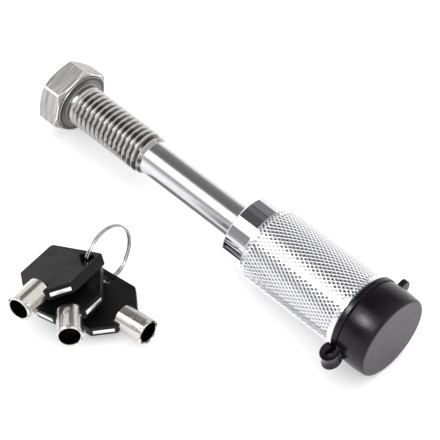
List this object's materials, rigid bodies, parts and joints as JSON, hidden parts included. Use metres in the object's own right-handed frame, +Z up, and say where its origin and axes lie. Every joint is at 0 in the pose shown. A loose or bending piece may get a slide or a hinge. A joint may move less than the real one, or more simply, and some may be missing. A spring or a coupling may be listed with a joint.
{
  "type": "hitch pin lock",
  "caption": "Trailer hitch pin lock: hex-head bolt with a thread and a smooth shank, push-on knurled lock barrel with a rubber dust cap, and tubular keys on a split ring.",
  "frame": {"origin": "centre of the bolt head's bearing face, on the bolt's axis", "axes": "+X along the bolt from its head to the dust cap, +Z up as the lock lies"},
  "size_m": [0.1622, 0.1019, 0.0314],
  "materials": {
    "bolt_steel": "bright zinc plate over turned and ground steel",
    "polished_chrome": "mirror chrome",
    "knurled_chrome": "bright chrome over a diamond knurl",
    "inner_steel": "turned steel, oiled",
    "ball_steel": "hardened and polished",
    "lock_brass": "turned brass",
    "pin_brass": "turned brass",
    "spring_steel": "dark spring steel",
    "seal_rubber": "smooth",
    "cap_rubber": "satin moulded",
    "key_nickel": "bright nickel plate",
    "key_plate_steel": "bright blanked plate",
    "bow_plastic": "fine moulded texture",
    "ring_wire": "bright nickel plate"
  },
  "bodies": {
    "bolt": {"hitch_bolt": "bolt_steel"},
    "seal": {"shaft_seal": "seal_rubber"},
    "barrel": {"front_collar": "polished_chrome", "barrel_shell": "knurled_chrome", "ball_cage": "inner_steel", "lock_body": "lock_brass", "driver_pins": "pin_brass", "pin_springs": "spring_steel", "stop_pin": "inner_steel", "retaining_ring": "spring_steel", "cap_ring": "cap_rubber", "cap_strap": "cap_rubber"},
    "plug": {"plug_spindle": "lock_brass", "key_pins": "pin_brass", "cam_sleeve": "inner_steel"},
    "upper_ball": {"locking_ball_upper": "ball_steel"},
    "lower_ball": {"locking_ball_lower": "ball_steel"},
    "lid": {"cap_lid": "cap_rubber"},
    "ring": {"key_ring": "ring_wire"},
    "key_1": {"key_1_tube": "key_nickel", "key_1_plate": "key_plate_steel", "key_1_bow": "bow_plastic"},
    "key_2": {"key_2_tube": "key_nickel", "key_2_plate": "key_plate_steel", "key_2_bow": "bow_plastic"},
    "key_3": {"key_3_tube": "key_nickel", "key_3_plate": "key_plate_steel", "key_3_bow": "bow_plastic"}
  },
  "joints": [
    {"name": "barrel_slide", "type": "slide", "parent": "bolt", "child": "seal", "axis": [1, 0, 0], "range_m": [0, 0.12]},
    {"name": "barrel_spin", "type": "hinge", "parent": "seal", "child": "barrel", "pos_m": [0.09, 0, 0], "axis": [1, 0, 0], "continuous": true},
    {"name": "plug_turn", "type": "hinge", "parent": "barrel", "child": "plug", "pos_m": [0.138, 0, 0], "axis": [1, 0, 0], "range_deg": [0, 90]},
    {"name": "upper_ball_travel", "type": "slide", "parent": "barrel", "child": "upper_ball", "axis": [0, 0, -1], "range_m": [0, 0.0015]},
    {"name": "lower_ball_travel", "type": "slide", "parent": "barrel", "child": "lower_ball", "axis": [0, 0, 1], "range_m": [0, 0.0015]},
    {"name": "lid_swing", "type": "hinge", "parent": "barrel", "child": "lid", "pos_m": [0.1403, -0.01688, -0.00328], "axis": [0, 0.1908, -0.9816], "range_deg": [0, 150], "deforming": ["cap_strap"]},
    {"name": "keys_lift", "type": "slide", "parent": "bolt", "child": "ring", "axis": [0, 0, 1], "range_m": [0, 0.06]},
    {"name": "key_1_swing", "type": "hinge", "parent": "ring", "child": "key_1", "pos_m": [0.05661, -0.05029, 0.00156], "axis": [-0.3921, 0.0695, 0.9173], "range_deg": [0, 12]},
    {"name": "key_2_swing", "type": "hinge", "parent": "ring", "child": "key_2", "pos_m": [0.0578, -0.05134, -0.00485], "axis": [-0.2965, -0.0289, 0.9546], "range_deg": [-8, 30]},
    {"name": "key_3_swing", "type": "hinge", "parent": "ring", "child": "key_3", "pos_m": [0.05856, -0.04823, -0.01106], "axis": [-0.1076, -0.0094, 0.9942], "range_deg": [0, 30]}
  ],
  "couplings": [
    {"joint": "upper_ball_travel", "follows": "plug_turn", "m_per_rad": 0.00095493},
    {"joint": "lower_ball_travel", "follows": "plug_turn", "m_per_rad": 0.00095493}
  ]
}
